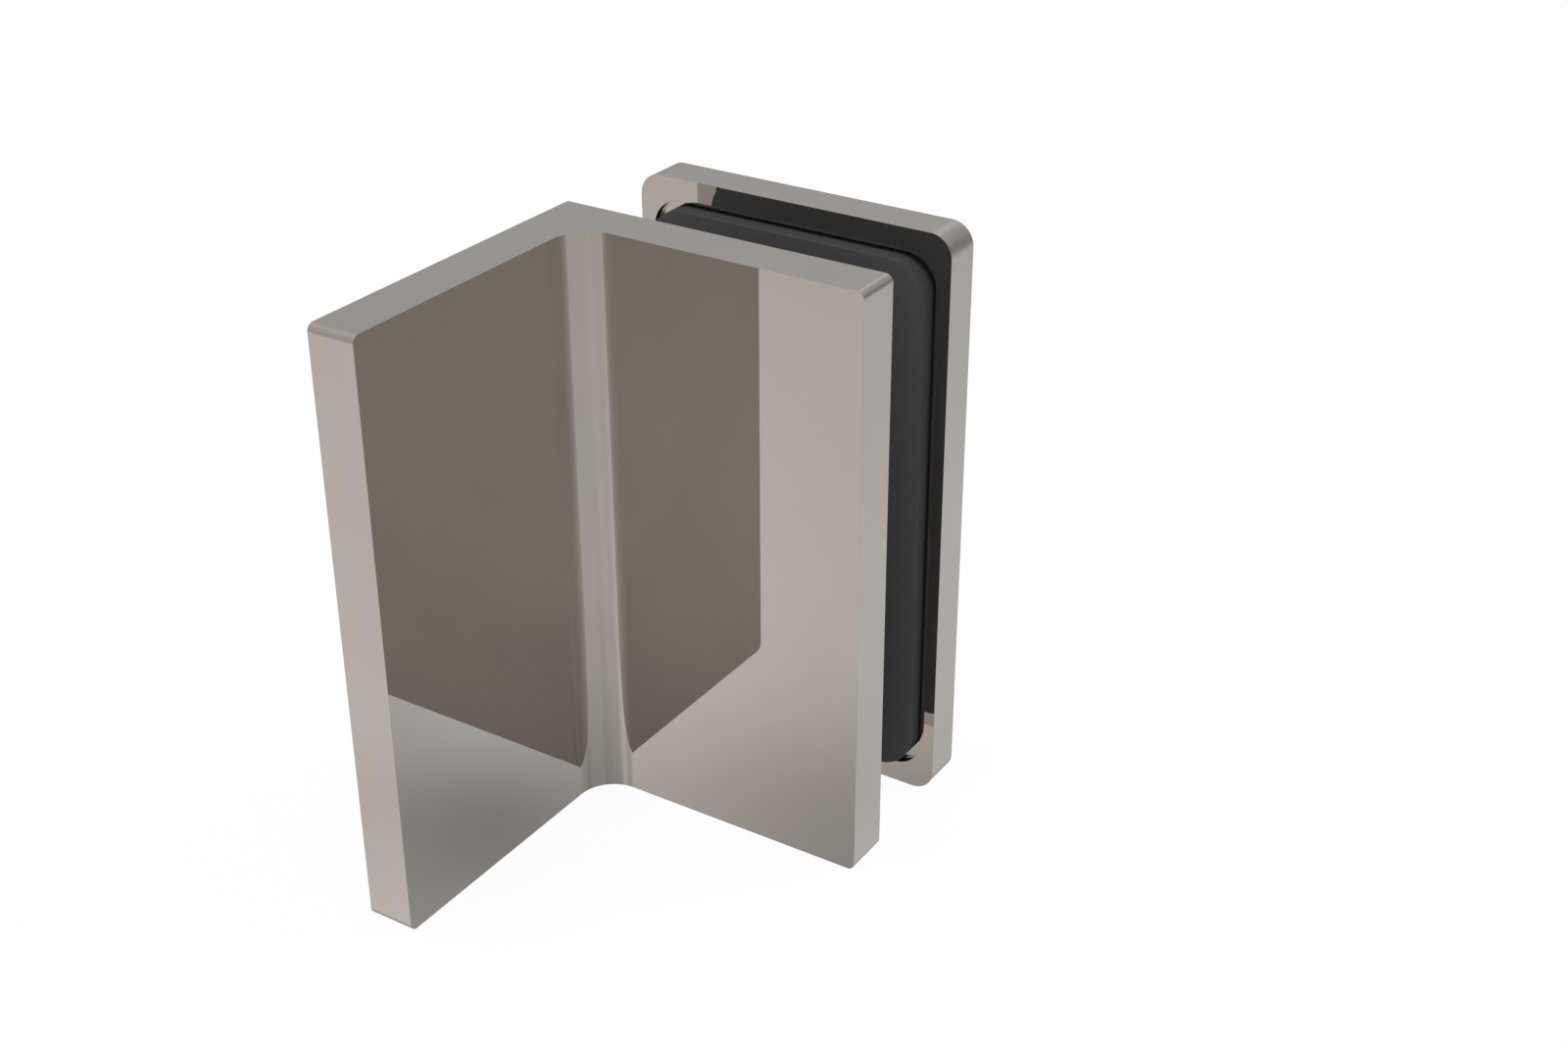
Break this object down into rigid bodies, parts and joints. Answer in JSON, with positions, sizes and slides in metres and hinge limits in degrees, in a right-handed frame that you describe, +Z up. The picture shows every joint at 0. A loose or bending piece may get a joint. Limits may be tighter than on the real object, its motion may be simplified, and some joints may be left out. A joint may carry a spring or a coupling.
{
  "type": "glass-to-wall bracket",
  "caption": "Right-angled metal bracket with a screwed clamp plate and rubber gaskets that hold the edge of a glass pane at a wall.",
  "frame": {"origin": "middle of the face that meets the wall", "axes": "+X away from the wall along the glass, +Y from the glass leg towards the clamp plate, +Z up along the bracket's height"},
  "size_m": [0.046, 0.0655, 0.079],
  "materials": {
    "polished_metal": "mirror polished, warm grey",
    "black_rubber": "matt moulded",
    "stainless_screw": "turned and tumbled",
    "sleeve_plastic": "natural moulded"
  },
  "bodies": {
    "root": {"angle_bracket": "polished_metal", "clamp_plate": "polished_metal", "leg_gasket": "black_rubber", "plate_gasket": "black_rubber", "clamp_screws": "stainless_screw", "screw_sleeves": "sleeve_plastic"}
  },
  "joints": []
}
